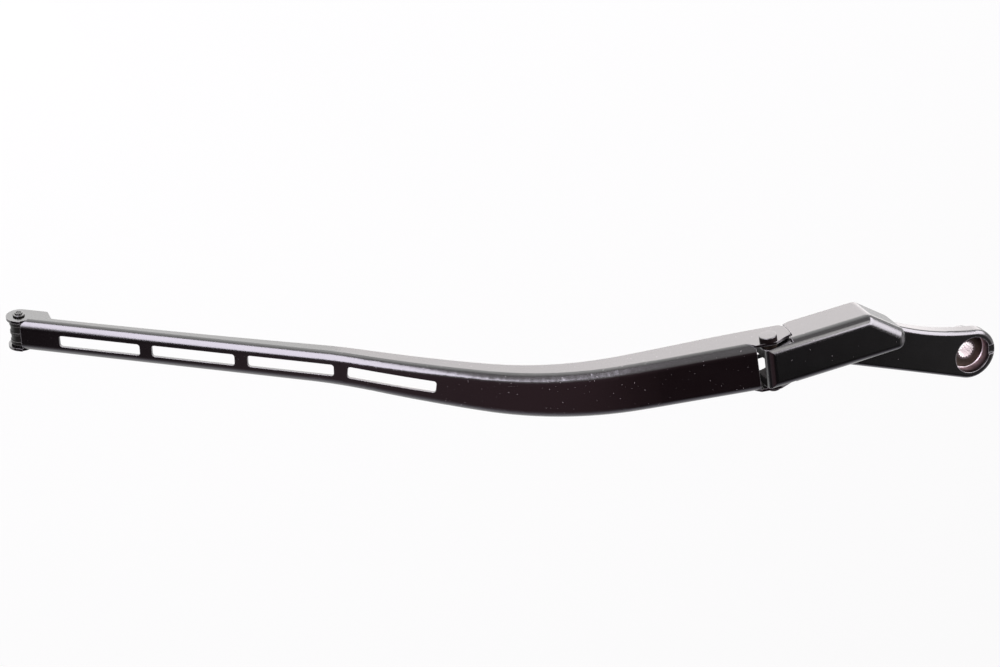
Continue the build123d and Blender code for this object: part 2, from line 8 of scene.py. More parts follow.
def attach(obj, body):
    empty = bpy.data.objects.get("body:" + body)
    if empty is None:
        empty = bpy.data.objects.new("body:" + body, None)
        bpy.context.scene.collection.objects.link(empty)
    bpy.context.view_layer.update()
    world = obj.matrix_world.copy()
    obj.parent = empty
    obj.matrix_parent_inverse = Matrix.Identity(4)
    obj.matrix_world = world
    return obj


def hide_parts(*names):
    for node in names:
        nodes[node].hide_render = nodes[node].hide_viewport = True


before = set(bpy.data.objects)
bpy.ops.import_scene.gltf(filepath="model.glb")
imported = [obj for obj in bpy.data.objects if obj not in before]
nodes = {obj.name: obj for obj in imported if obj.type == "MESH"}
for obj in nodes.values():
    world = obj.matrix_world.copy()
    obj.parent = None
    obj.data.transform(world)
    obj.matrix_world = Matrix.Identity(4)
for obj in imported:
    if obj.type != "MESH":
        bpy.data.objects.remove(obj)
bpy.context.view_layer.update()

scene = bpy.context.scene
scene.view_settings.view_transform = "Standard"
mm = 0.001
print("frame loaded:", len(nodes), "nodes")


# The camera, solved from the arm's own lines.

cameraSet = {
    "place": (-0.63162, 0.74274, 1.19770),
    "right": (0.92462, -0.15988, 0.34570),
    "toward": (-0.24149, 0.45581, 0.85669),
    "lens": 86.4,
    "sensor": 36.0,
}
viewRight = Vector(cameraSet["right"]).normalized()
viewToward = Vector(cameraSet["toward"]).normalized()
viewUp = viewToward.cross(viewRight).normalized()
viewRight = viewUp.cross(viewToward)


def standAxes(right, up, toward, place):
    turned = Matrix((right, up, toward)).transposed().to_4x4()
    turned.translation = place
    return turned


cameraData = bpy.data.cameras.new("photoCamera")
cameraData.lens = cameraSet["lens"]
cameraData.sensor_width = cameraSet["sensor"]
cameraData.sensor_fit = "HORIZONTAL"
cameraData.clip_end = 20
photoCamera = bpy.data.objects.new("photoCamera", cameraData)
scene.collection.objects.link(photoCamera)
photoCamera.matrix_world = standAxes(viewRight, viewUp, viewToward, Vector(cameraSet["place"]))
scene.camera = photoCamera
print("camera set")


# Small helpers for node trees.

def addNode(tree, kind, **values):
    node = tree.nodes.new(kind)
    for name, value in values.items():
        setattr(node, name, value)
    return node


def feed(tree, socket, value):
    if isinstance(value, bpy.types.NodeSocket):
        tree.links.new(value, socket)
    else:
        socket.default_value = value


def doMath(tree, operation, first, second=None, third=None, clamp=False):
    node = addNode(tree, "ShaderNodeMath", operation=operation, use_clamp=clamp)
    for socket, value in zip(node.inputs, (first, second, third)):
        if value is not None:
            feed(tree, socket, value)
    return node.outputs[0]


def doVector(tree, operation, *parts):
    node = addNode(tree, "ShaderNodeVectorMath", operation=operation)
    for socket, value in zip(node.inputs, parts):
        feed(tree, socket, value)
    return node.outputs["Value" if operation == "DOT_PRODUCT" else "Vector"]


def splitParts(tree, vector):
    node = addNode(tree, "ShaderNodeSeparateXYZ")
    feed(tree, node.inputs[0], vector)
    return node.outputs


def mapRange(tree, value, low, high, toLow, toHigh, smooth=False):
    node = addNode(tree, "ShaderNodeMapRange", clamp=True)
    node.interpolation_type = "SMOOTHSTEP" if smooth else "LINEAR"
    for name, part in (("Value", value), ("From Min", low), ("From Max", high),
                       ("To Min", toLow), ("To Max", toHigh)):
        feed(tree, node.inputs[name], part)
    return node.outputs["Result"]


def mixColor(tree, share, first, second):
    node = addNode(tree, "ShaderNodeMix", data_type="RGBA")
    feed(tree, node.inputs[0], share)
    feed(tree, node.inputs[6], first)
    feed(tree, node.inputs[7], second)
    return node.outputs[2]


def mixValue(tree, share, first, second):
    node = addNode(tree, "ShaderNodeMix", data_type="FLOAT")
    feed(tree, node.inputs[0], share)
    feed(tree, node.inputs[2], first)
    feed(tree, node.inputs[3], second)
    return node.outputs[0]


def addNoise(tree, where, scale, detail=2.0, rough=0.5):
    node = addNode(tree, "ShaderNodeTexNoise")
    feed(tree, node.inputs["Vector"], where)
    feed(tree, node.inputs["Scale"], scale)
    node.inputs["Detail"].default_value = detail
    node.inputs["Roughness"].default_value = rough
    return node.outputs["Fac"]


def newGroup(name, inputs, outputs):
    tree = bpy.data.node_groups.new(name, "ShaderNodeTree")
    for label, kind, value in inputs:
        socket = tree.interface.new_socket(name=label, in_out="INPUT", socket_type=kind)
        if value is not None:
            socket.default_value = value
    for label, kind in outputs:
        tree.interface.new_socket(name=label, in_out="OUTPUT", socket_type=kind)
    return tree, tree.nodes.new("NodeGroupInput").outputs, tree.nodes.new("NodeGroupOutput").inputs


def placeGroup(tree, group, **values):
    node = addNode(tree, "ShaderNodeGroup", node_tree=group)
    for name, value in values.items():
        feed(tree, node.inputs[name], value)
    return node.outputs


def newMaterial(name):
    material = bpy.data.materials.new(name)
    material.use_nodes = True
    tree = material.node_tree
    shader = tree.nodes["Principled BSDF"]
    where = addNode(tree, "ShaderNodeTexCoord").outputs["Object"]
    return material, tree, shader, where


# Shared effects: paint skin, settled dust, bare metal, edge wear with painted highlights, painted shade in
# hollows, and dark bands.

floatKind, colorKind, vectorKind = "NodeSocketFloat", "NodeSocketColor", "NodeSocketVector"

skinSet = {"slowScale": 14.0, "cloudScale": 90.0, "driftEdge": (0.35, 0.68)}


def makePaintSkin(look):
    # a fine orange peel as height, with slow drifts of tone and gloss
    tree, given, out = newGroup(
        "paintSkin",
        [("Vector", vectorKind, None), ("Tone", colorKind, (0.01, 0.01, 0.01, 1)),
         ("Drift", colorKind, (0.02, 0.015, 0.016, 1)), ("Gloss", floatKind, 0.3),
         ("Spread", floatKind, 0.08), ("Peel", floatKind, 900.0)],
        [("Color", colorKind), ("Roughness", floatKind), ("Height", floatKind)])
    slow = addNoise(tree, given["Vector"], look["slowScale"], detail=3.0)
    cloud = addNoise(tree, given["Vector"], look["cloudScale"], detail=3.0, rough=0.6)
    share = mapRange(tree, slow, *look["driftEdge"], 0.0, 1.0, smooth=True)
    feed(tree, out["Color"], mixColor(tree, share, given["Tone"], given["Drift"]))
    swing = doMath(tree, "MULTIPLY", doMath(tree, "SUBTRACT", cloud, 0.5), given["Spread"])
    feed(tree, out["Roughness"], doMath(tree, "ADD", given["Gloss"], swing))
    feed(tree, out["Height"], addNoise(tree, given["Vector"], given["Peel"], detail=1.5))
    return tree


dustSet = {
    "bendScale": 420.0, "bendReach": 0.0022,
    "spotSize": (0.04, 0.11),  # least and most, as a share of a cell
    "thinOver": 0.08, "thinned": 0.15,  # how far before Near the dust thins out, and to what share
}


def makeSettledDust(look):
    # a speck is a cell of a bent cell pattern that wins a draw, drawn as a small spot in that cell,
    # thickest past Near along X
    tree, given, out = newGroup(
        "settledDust",
        [("Vector", vectorKind, None), ("Color", colorKind, (0, 0, 0, 1)),
         ("Dust", colorKind, (0.66, 0.61, 0.61, 1)), ("Cells", floatKind, 260.0),
         ("Rarity", floatKind, 0.9), ("Amount", floatKind, 0.5), ("Near", floatKind, -0.30)],
        [("Color", colorKind)])
    bend = addNode(tree, "ShaderNodeTexNoise")
    feed(tree, bend.inputs["Vector"], given["Vector"])
    bend.inputs["Scale"].default_value = look["bendScale"]
    bent = doVector(tree, "MULTIPLY_ADD", bend.outputs["Color"], [look["bendReach"]] * 3, given["Vector"])
    cells = addNode(tree, "ShaderNodeTexVoronoi")
    feed(tree, cells.inputs["Vector"], bent)
    feed(tree, cells.inputs["Scale"], given["Cells"])
    draw = addNode(tree, "ShaderNodeSeparateColor")
    feed(tree, draw.inputs[0], cells.outputs["Color"])
    won = doMath(tree, "GREATER_THAN", draw.outputs[0], given["Rarity"])
    size = mapRange(tree, draw.outputs[1], 0.0, 1.0, *look["spotSize"])
    spot = doMath(tree, "LESS_THAN", cells.outputs["Distance"], size)
    past = doMath(tree, "SUBTRACT", splitParts(tree, given["Vector"])["X"], given["Near"])
    gather = mapRange(tree, past, -look["thinOver"], 0.0, look["thinned"], 1.0, smooth=True)
    mask = doMath(tree, "MULTIPLY", doMath(tree, "MULTIPLY", won, spot), given["Amount"])
    mask = doMath(tree, "MULTIPLY", mask, gather)
    feed(tree, out["Color"], mixColor(tree, mask, given["Color"], given["Dust"]))
    return tree


metalSet = {"lineStretch": 0.05, "lineSwing": 0.3, "blotScale": 160.0, "blotEdge": (0.35, 0.7)}


def makeBareMetal(look):
    # machined metal: fine turned lines around Z over a slow stain
    tree, given, out = newGroup(
        "bareMetal",
        [("Vector", vectorKind, None), ("Metal", colorKind, (0.4, 0.4, 0.4, 1)),
         ("Stain", colorKind, (0.2, 0.15, 0.12, 1)), ("Gloss", floatKind, 0.35),
         ("Lines", floatKind, 3000.0), ("Stained", floatKind, 0.5)],
        [("Color", colorKind), ("Roughness", floatKind), ("Height", floatKind)])
    stretch = (look["lineStretch"], look["lineStretch"], 1.0)
    lines = addNoise(tree, doVector(tree, "MULTIPLY", given["Vector"], stretch), given["Lines"])
    blot = addNoise(tree, given["Vector"], look["blotScale"], detail=4.0, rough=0.6)
    share = doMath(tree, "MULTIPLY", mapRange(tree, blot, *look["blotEdge"], 0.0, 1.0), given["Stained"])
    feed(tree, out["Color"], mixColor(tree, share, given["Metal"], given["Stain"]))
    swing = doMath(tree, "MULTIPLY", doMath(tree, "SUBTRACT", lines, 0.5), look["lineSwing"])
    feed(tree, out["Roughness"], doMath(tree, "ADD", given["Gloss"], swing))
    feed(tree, out["Height"], lines)
    return tree


edgeWearAndHighlightSet = {
    "rays": 8, "lostEdge": (0.60, 0.93),
    "patchScale": 130.0, "patchEdge": (0.32, 0.62), "leastEdgeWearAndHighlight": 0.35,
}


def makeEdgeWearAndHighlight(look):
    # short rays sent inwards near a sharp edge soon leave the solid:
    # their share lightens the edge, partly as wear and partly as a painted highlight, broken up by noise
    tree, given, out = newGroup(
        "edgeWearAndHighlight",
        [("Vector", vectorKind, None), ("Color", colorKind, (0, 0, 0, 1)),
         ("Bright", colorKind, (0.4, 0.38, 0.38, 1)), ("Reach", floatKind, 0.0004),
         ("Amount", floatKind, 0.5)],
        [("Color", colorKind)])
    inward = addNode(tree, "ShaderNodeAmbientOcclusion", inside=True, only_local=True,
                     samples=look["rays"])
    feed(tree, inward.inputs["Distance"], given["Reach"])
    lost = mapRange(tree, inward.outputs["AO"], *look["lostEdge"], 1.0, 0.0, smooth=True)
    patch = addNoise(tree, given["Vector"], look["patchScale"], detail=3.0)
    patch = mapRange(tree, patch, *look["patchEdge"], look["leastEdgeWearAndHighlight"], 1.0)
    mask = doMath(tree, "MULTIPLY", doMath(tree, "MULTIPLY", lost, patch), given["Amount"])
    feed(tree, out["Color"], mixColor(tree, mask, given["Color"], given["Bright"]))
    return tree


def makeShadedHollow():
    # one inside a box given by its middle and half sizes, fading to nothing over the last Fade of the way
    tree, given, out = newGroup(
        "shadedHollow",
        [("Vector", vectorKind, None), ("Middle", vectorKind, None), ("Half", vectorKind, None),
         ("Fade", floatKind, 0.0004)],
        [("Mask", floatKind)])
    off = doVector(tree, "ABSOLUTE", doVector(tree, "SUBTRACT", given["Vector"], given["Middle"]))
    left = splitParts(tree, doVector(tree, "SUBTRACT", given["Half"], off))
    least = doMath(tree, "MINIMUM", doMath(tree, "MINIMUM", left["X"], left["Y"]), left["Z"])
    feed(tree, out["Mask"], doMath(tree, "DIVIDE", least, given["Fade"], clamp=True))
    return tree


def makeDarkBand():
    # one between two heights along a line through Middle, fading to nothing over Fade at each
    tree, given, out = newGroup(
        "darkBand",
        [("Vector", vectorKind, None), ("Middle", vectorKind, None), ("Line", vectorKind, None),
         ("Low", floatKind, 0.0), ("High", floatKind, 0.001), ("Fade", floatKind, 0.0001)],
        [("Mask", floatKind)])
    off = doVector(tree, "SUBTRACT", given["Vector"], given["Middle"])
    rise = doVector(tree, "DOT_PRODUCT", off, given["Line"])
    above = doMath(tree, "SUBTRACT", rise, given["Low"])
    least = doMath(tree, "MINIMUM", above, doMath(tree, "SUBTRACT", given["High"], rise))
    feed(tree, out["Mask"], doMath(tree, "DIVIDE", least, given["Fade"], clamp=True))
    return tree


paintSkin = makePaintSkin(skinSet)
settledDust = makeSettledDust(dustSet)
bareMetal = makeBareMetal(metalSet)
edgeWearAndHighlight = makeEdgeWearAndHighlight(edgeWearAndHighlightSet)
shadedHollow = makeShadedHollow()
darkBand = makeDarkBand()

edgeRays = 6  # for each point of the rounded-edge normal
darkPlaceRough = 0.6


def softEdges(tree, shader, height, depth, radius):
    # a bump over the rounded-edge normal, so a cut edge catches a thin line of light
    edge = addNode(tree, "ShaderNodeBevel", samples=edgeRays)
    edge.inputs["Radius"].default_value = radius
    bump = addNode(tree, "ShaderNodeBump")
    bump.inputs["Distance"].default_value = depth
    feed(tree, bump.inputs["Height"], height)
    feed(tree, bump.inputs["Normal"], edge.outputs[0])
    feed(tree, shader.inputs["Normal"], bump.outputs[0])


def addDarkPlaces(tree, where, look, color, rough):
    # dull, dark places: boxes for hollows and bands along a line for turned pieces, all in millimetres; in
    # the hollows and on the pin's and rivet's sides this is painted shade
    masks = []
    for darkPlace in look.get("hollows", []) + look.get("bands", []):
        middle = np.array(darkPlace["middle"]) * mm
        if "half" in darkPlace:
            mask = placeGroup(tree, shadedHollow, Vector=where, Middle=middle,
                              Half=np.array(darkPlace["half"]) * mm)["Mask"]
        else:
            mask = placeGroup(tree, darkBand, Vector=where, Middle=middle, Line=darkPlace["line"],
                              Low=darkPlace["low"] * mm, High=darkPlace["high"] * mm)["Mask"]
        color = mixColor(tree, mask, color, darkPlace["tone"])
        rough = mixValue(tree, mask, rough, darkPlaceRough)
        masks.append(mask)
    return color, rough, masks


def makePaint(name, look):
    material, tree, shader, where = newMaterial(name)
    skin = placeGroup(tree, paintSkin, Vector=where, Tone=look["tone"], Drift=look["drift"],
                      Gloss=look["gloss"], Spread=look["spread"], Peel=look["peel"])
    dust = placeGroup(tree, settledDust, Vector=where, Color=skin["Color"],
                      Cells=look["dustCells"], Rarity=look["dustRarity"], Amount=look["dustAmount"])
    # edges lightened partly as wear and partly as a painted highlight
    wornAndLit = placeGroup(tree, edgeWearAndHighlight, Vector=where, Color=dust["Color"], Bright=look["edgeWearAndHighlightTone"],
                      Reach=look["edgeWearAndHighlightReach"], Amount=look["edgeWearAndHighlightAmount"])
    color, rough, masks = addDarkPlaces(tree, where, look, wornAndLit["Color"], skin["Roughness"])
    # the metallic mask gathers the painted-shade places, where a dark metal reflects little light
    bareAndShadeMask = 0.0
    for mask in masks:
        bareAndShadeMask = doMath(tree, "MAXIMUM", mask, bareAndShadeMask)
    feed(tree, shader.inputs["Base Color"], color)
    feed(tree, shader.inputs["Roughness"], rough)
    feed(tree, shader.inputs["Metallic"], bareAndShadeMask)
    shader.inputs["Specular IOR Level"].default_value = look["specular"]
    shader.inputs["IOR"].default_value = look["index"]
    softEdges(tree, shader, skin["Height"], look["depth"], look["edge"])
    return material, tree, shader, where, color, rough, bareAndShadeMask


sheetLook = {
    "tone": (0.0020, 0.0014, 0.0016, 1), "drift": (0.0034, 0.0022, 0.0026, 1),
    "gloss": 0.19, "spread": 0.06, "peel": 1100.0, "depth": 0.000008, "edge": 0.00035,
    "specular": 1.0, "index": 1.72, "dustCells": 520.0, "dustRarity": 0.42, "dustAmount": 0.62,
    "edgeWearAndHighlightTone": (0.34, 0.325, 0.325, 1), "edgeWearAndHighlightReach": 0.00045, "edgeWearAndHighlightAmount": 0.55,
    # painted shade: the box darkens the channel's insides at the hinge end
    "hollows": [{"middle": (-136.0, 40.4, 5.8), "half": (16.0, 14.75, 12.7),
                 "tone": (0.012, 0.008, 0.008, 1)}],
}
sheetPaint = makePaint("satinSheetPaint", sheetLook)[0]

castLook = {
    "tone": (0.0016, 0.0015, 0.0015, 1), "drift": (0.0026, 0.0024, 0.0025, 1),
    "gloss": 0.19, "spread": 0.06, "peel": 800.0, "depth": 0.000009, "edge": 0.0005,
    "specular": 1.0, "index": 1.72, "dustCells": 500.0, "dustRarity": 0.84, "dustAmount": 0.55,
    "edgeWearAndHighlightTone": (0.40, 0.385, 0.39, 1), "edgeWearAndHighlightReach": 0.00050, "edgeWearAndHighlightAmount": 0.75,
    # painted shade: the boxes darken the cheek ends and the hinge gap's inner faces
    "hollows": [{"middle": (-145.0, 40.4, 12.0), "half": (4.0, 12.5, 12.5),
                 "tone": (0.012, 0.011, 0.011, 1)},
                {"middle": (-136.0, 40.4, 10.0), "half": (8.0, 7.6, 14.0),
                 "tone": (0.009, 0.007, 0.007, 1)}],
}

# the nut's recess from the top down: each zone's radius and heights in metres, its metal low and high up
recessSet = {
    # painted shade: the wall's metal darkens from its bright foot to near black at the rim
    "wall": {"reach": 0.01235, "low": 0.0120, "high": 0.0184, "gloss": 0.55, "lines": 2200.0,
             "metal": (0.88, 0.66, 0.68, 1), "upper": (0.030, 0.018, 0.019, 1)},
    "seat": {"reach": 0.01205, "low": 0.0110, "high": 0.01160, "gloss": 0.58, "lines": 700.0,
             "metal": (0.130, 0.106, 0.086, 1), "upper": (0.016, 0.012, 0.010, 1)},
    "bevel": {"reach": 0.01205, "low": 0.01160, "high": 0.0121, "gloss": 0.46, "lines": 2600.0,
              "metal": (0.95, 0.86, 0.87, 1), "upper": (0.95, 0.86, 0.87, 1)},
    "mouth": {"reach": 0.0066, "low": 0.0110, "high": 0.01130, "gloss": 0.62, "lines": 1600.0,
              "metal": (0.36, 0.30, 0.31, 1), "upper": (0.10, 0.08, 0.08, 1)},
    "bore": {"reach": 0.0060, "low": 0.0002, "high": 0.01115, "gloss": 0.32, "lines": 3000.0,
             "metal": (0.74, 0.64, 0.66, 1), "upper": (0.62, 0.53, 0.55, 1)},
}


def makeCastPaint(look, zones):
    # paint, with bare metal inside the recess:
    # a zone is where the radius from Z is small and the height in its range
    material, tree, shader, where, color, rough, bareAndShadeMask = makePaint("satinCastPaint", look)
    parts = splitParts(tree, where)
    squares = [doMath(tree, "POWER", parts[name], 2.0) for name in "XY"]
    reach = doMath(tree, "SQRT", doMath(tree, "ADD", *squares))
    rise = parts["Z"]
    for zone in zones.values():
        mask = doMath(tree, "LESS_THAN", reach, zone["reach"])
        mask = doMath(tree, "MULTIPLY", mask, doMath(tree, "GREATER_THAN", rise, zone["low"]))
        mask = doMath(tree, "MULTIPLY", mask, doMath(tree, "LESS_THAN", rise, zone["high"]))
        fade = mapRange(tree, rise, zone["low"], zone["high"], 0.0, 1.0, smooth=True)
        tone = mixColor(tree, fade, zone["metal"], zone["upper"])
        metal = placeGroup(tree, bareMetal, Vector=where, Metal=tone, Stain=zone["upper"],
                           Gloss=zone["gloss"], Lines=zone["lines"])
        color = mixColor(tree, mask, color, metal["Color"])
        rough = mixValue(tree, mask, rough, metal["Roughness"])
        bareAndShadeMask = doMath(tree, "MAXIMUM", mask, bareAndShadeMask)
    feed(tree, shader.inputs["Base Color"], color)
    feed(tree, shader.inputs["Metallic"], bareAndShadeMask)
    feed(tree, shader.inputs["Roughness"], rough)
    return material


castPaint = makeCastPaint(castLook, recessSet)

# the hinge pin's and the rivet's own lines, in millimetres, for their paint and their turned shapes
pinMiddle = (-135.5, 40.4, 19.6)
pinLine = (0.0, 1.0, 0.0)
rivetMiddle = (-546.072, 109.584, -189.975)
rivetLine = (0.139926, 0.986141, 0.089142)

pinLook = {
    "tone": (0.0040, 0.0036, 0.0038, 1), "drift": (0.0070, 0.0060, 0.0064, 1),
    "gloss": 0.20, "spread": 0.06, "peel": 1500.0, "depth": 0.000006, "edge": 0.0002,
    "specular": 1.0, "index": 1.72, "dustCells": 500.0, "dustRarity": 0.96, "dustAmount": 0.3,
    "edgeWearAndHighlightTone": (0.34, 0.32, 0.32, 1), "edgeWearAndHighlightReach": 0.0004, "edgeWearAndHighlightAmount": 0.6,
    # painted shade: the band darkens the head's side, while its top still catches light
    "bands": [{"middle": pinMiddle, "line": pinLine, "low": 15.9, "high": 19.0,
               "tone": (0.020, 0.014, 0.014, 1)}],
}
pinPaint = makePaint("pinBlacking", pinLook)[0]

jawLook = {
    "tone": (0.0075, 0.0080, 0.0062, 1), "drift": (0.0130, 0.0130, 0.0100, 1),
    "gloss": 0.42, "spread": 0.12, "peel": 1800.0, "depth": 0.00002, "edge": 0.0003,
    "specular": 0.5, "index": 1.45, "dustCells": 500.0, "dustRarity": 0.95, "dustAmount": 0.3,
    "edgeWearAndHighlightTone": (0.42, 0.42, 0.38, 1), "edgeWearAndHighlightReach": 0.0005, "edgeWearAndHighlightAmount": 0.4,
}
jawPlastic = makePaint("mouldedJaw", jawLook)[0]

rivetLook = {
    "tone": (0.010, 0.010, 0.008, 1), "drift": (0.020, 0.020, 0.016, 1),
    "gloss": 0.20, "spread": 0.06, "peel": 1500.0, "depth": 0.000006, "edge": 0.0001,
    "specular": 0.9, "index": 1.72, "dustCells": 500.0, "dustRarity": 0.96, "dustAmount": 0.3,
    "edgeWearAndHighlightTone": (0.40, 0.40, 0.36, 1), "edgeWearAndHighlightReach": 0.0003, "edgeWearAndHighlightAmount": 0.5,
    # painted shade: the bands darken the flange's side and the dome's side
    "bands": [{"middle": rivetMiddle, "line": rivetLine, "low": 10.3, "high": 11.5,
               "tone": (0.014, 0.014, 0.011, 1)},
              {"middle": rivetMiddle, "line": rivetLine, "low": 12.02, "high": 12.75,
               "tone": (0.020, 0.020, 0.017, 1)}],
}
rivetBlack = makePaint("rivetBlacking", rivetLook)[0]


def makeMetal(name, look):
    material, tree, shader, where = newMaterial(name)
    metal = placeGroup(tree, bareMetal, Vector=where, Metal=look["metal"], Stain=look["stain"],
                       Gloss=look["gloss"], Lines=look["lines"], Stained=look["stained"])
    color, rough = addDarkPlaces(tree, where, look, metal["Color"], metal["Roughness"])[:2]
    feed(tree, shader.inputs["Base Color"], color)
    feed(tree, shader.inputs["Roughness"], rough)
    shader.inputs["Metallic"].default_value = 1.0
    softEdges(tree, shader, metal["Height"], look["depth"], look["edge"])
    return material


metalLooks = {
    # painted shade: the bushes' bronze is darkened far below its own colour, as they sit in shadow
    "bushBronzeShaded": {"metal": (0.030, 0.021, 0.016, 1), "stain": (0.014, 0.010, 0.008, 1), "gloss": 0.44,
                   "lines": 4000.0, "stained": 0.5, "depth": 0.00001, "edge": 0.0002},
    "plainSteel": {"metal": (0.42, 0.42, 0.43, 1), "stain": (0.26, 0.24, 0.22, 1), "gloss": 0.32,
                   "lines": 2500.0, "stained": 0.4, "depth": 0.00001, "edge": 0.0002},
    "springSteel": {"metal": (0.30, 0.30, 0.31, 1), "stain": (0.16, 0.15, 0.15, 1), "gloss": 0.30,
                    "lines": 3000.0, "stained": 0.5, "depth": 0.000006, "edge": 0.0001},
    "spindleMetal": {"metal": (0.74, 0.68, 0.70, 1), "stain": (0.46, 0.40, 0.42, 1), "gloss": 0.32,
                     "lines": 2600.0, "stained": 0.45, "depth": 0.000004, "edge": 0.0001,
                     # a darker band over the top of the bore teeth, level with the nut seat
                     "bands": [{"middle": (0.0, 0.0, 0.0), "line": (0.0, 0.0, 1.0),
                                "low": 11.1, "high": 12.0, "tone": (0.055, 0.042, 0.037, 1)}]},
}
metals = {name: makeMetal(name, look) for name, look in metalLooks.items()}
print("materials made:", len(bpy.data.materials))

finishes = {
    "mounting_head": castPaint, "arm_channel": sheetPaint, "hinge_pin": pinPaint,
    "hinge_bush_upper": metals["bushBronzeShaded"], "hinge_bush_lower": metals["bushBronzeShaded"],
    "spring_anchor_pin": metals["plainSteel"], "spring_bracket": sheetPaint,
    "spring_hook": metals["plainSteel"], "tension_spring": metals["springSteel"],
    "connector_rivet": rivetBlack, "connector_sleeve": metals["plainSteel"],
    "blade_connector": jawPlastic,
}
for nodeName, finish in finishes.items():
    nodeMesh = nodes[nodeName].data
    nodeMesh.materials.clear()
    nodeMesh.materials.append(finish)
print("nodes dressed:", len(finishes))


def gridPiece(name, points, material, body, closeAlong=False):
    # points is rows by columns by xyz; each row is a closed ring, joined to the next by four-sided faces
    rows, columns = points.shape[:2]
    down = np.arange(rows if closeAlong else rows - 1)
    first, second = np.meshgrid(down, np.arange(columns), indexing="ij")
    nextRow, nextColumn = (first + 1) % rows, (second + 1) % columns
    faces = np.stack([first * columns + second, first * columns + nextColumn,
                      nextRow * columns + nextColumn, nextRow * columns + second], -1).reshape(-1, 4)
    mesh = bpy.data.meshes.new(name)
    mesh.from_pydata(points.reshape(-1, 3), [], faces.tolist())
    shell = bmesh.new()
    shell.from_mesh(mesh)
    bmesh.ops.remove_doubles(shell, verts=shell.verts, dist=1e-8)  # closes the poles
    shell.to_mesh(mesh)
    shell.free()
    mesh.shade_smooth()
    mesh.materials.append(material)
    piece = bpy.data.objects.new(name, mesh)
    scene.collection.objects.link(piece)
    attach(piece, body)
    return piece


# The tension spring: a round wire wound close with a loop at the head,
# and a separate hook that slides in its far end.

springSet = {
    "anchor": (-127.5, 40.4, 15.6), "pull": (-0.96009, 0.0, -0.279692),
    "wireRadius": 0.97, "round": 10, "capRise": 0.4, "slant": (1.0, 0.0, -1.0),
    "coilFrom": 47.3, "coilTo": 99.3, "turns": 26, "coilRadius": 3.0, "perTurn": 28,
    "nearEye": 43.0, "eyeRadius": 3.0, "eyeSweep": 236.0, "eyeSteps": 48,
    "bendTurn": 30.0, "bendPull": 4.0, "bendPitch": 0.1,
}
hookSet = {
    "shankFrom": 95.0, "shankTo": 99.2, "shankLift": -0.45, "shankSteps": 12, "bendPull": 2.8,
    "farEye": 103.59, "opens": 135.0, "closes": -150.0, "eyeSteps": 60,
}
joinSteps = 14


def joinEnds(start, startWay, end, endWay):
    # a cubic curve that leaves one end and meets the other along their own directions,
    # its two end points left out
    share = np.linspace(0, 1, joinSteps)[1:-1, None]
    first = 2 * share**3 - 3 * share**2 + 1
    leaving, meeting = share**3 - 2 * share**2 + share, share**3 - share**2
    return first * start + leaving * startWay + (1 - first) * end + meeting * endWay


def wirePath(look):
    # along the pull: loop, joining curve, then a helix of constant pitch
    radius, bend = look["coilRadius"], math.radians(look["bendTurn"])
    full = 2 * math.pi * look["turns"]
    angle = np.linspace(bend, full, look["turns"] * look["perTurn"])
    along = look["coilFrom"] + (look["coilTo"] - look["coilFrom"]) * angle / full
    coil = np.stack([along, radius * np.cos(angle), radius * np.sin(angle)], -1)
    sweep = np.radians(90 - np.linspace(0, look["eyeSweep"], look["eyeSteps"]))
    loop = look["eyeRadius"] * np.stack([-np.cos(sweep), np.sin(sweep), 0 * sweep], -1)
    near = (loop + np.array([look["nearEye"], 0, 0]))[::-1]
    leave = look["bendPull"] * np.array([1.0, 0, 0])
    arrive = look["bendPull"] * np.array([look["bendPitch"], -math.sin(bend), math.cos(bend)])
    return np.concatenate([near, joinEnds(near[-1], leave, coil[0], arrive), coil])


def hookPath(look, eyeRadius):
    # a straight shank beside the pull, so it swings clear in the coil, a joining curve,
    # then most of a circle through the bracket
    line = np.linspace(look["shankFrom"], look["shankTo"], look["shankSteps"])
    shank = np.stack([line, 0 * line, 0 * line + look["shankLift"]], -1)
    sweep = np.radians(np.linspace(look["opens"], look["closes"], look["eyeSteps"]))
    eye = eyeRadius * np.stack([np.cos(sweep), np.sin(sweep), 0 * sweep], -1)
    eye = eye + np.array([look["farEye"], 0, 0])
    leave = look["bendPull"] * np.array([1.0, 0, 0])
    arrive = look["bendPull"] * np.array([math.sin(sweep[0]), -math.cos(sweep[0]), 0])
    return np.concatenate([shank, joinEnds(shank[-1], leave, eye[0], arrive), eye])


def sweepRound(path, look):
    # a ring of points square to the path at each step,
    # begun square to a slanting line that the path never follows
    way = np.gradient(path, axis=0)
    way /= np.linalg.norm(way, axis=1)[:, None]
    side = np.cross(way, look["slant"])
    side /= np.linalg.norm(side, axis=1)[:, None]
    lift = np.cross(way, side)
    radius, count = look["wireRadius"], look["round"]
    turn = np.linspace(0, 2 * math.pi, count, endpoint=False)[:, None]
    ring = path[:, None] + radius * (np.cos(turn) * side[:, None] + np.sin(turn) * lift[:, None])
    cap = look["capRise"] * radius
    start = np.repeat(path[:1, None] - cap * way[:1, None], count, 1)
    end = np.repeat(path[-1:, None] + cap * way[-1:, None], count, 1)
    pullWay, acrossWay = np.array(look["pull"]), np.array([0.0, 1.0, 0.0])
    axes = np.stack([pullWay, acrossWay, np.cross(pullWay, acrossWay)])
    return (np.concatenate([start, ring, end]) @ axes + np.array(look["anchor"])) * mm


springTube = sweepRound(wirePath(springSet), springSet)
woundSpring = gridPiece("woundSpring", springTube, metals["springSteel"], "spring_link")
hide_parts("tension_spring")
hookTube = sweepRound(hookPath(hookSet, springSet["eyeRadius"]), springSet)
gridPiece("springEndHook", hookTube, metals["springSteel"], "arm")
print("spring wound:", len(woundSpring.data.polygons), "faces")


# Fine teeth in the spindle bore.

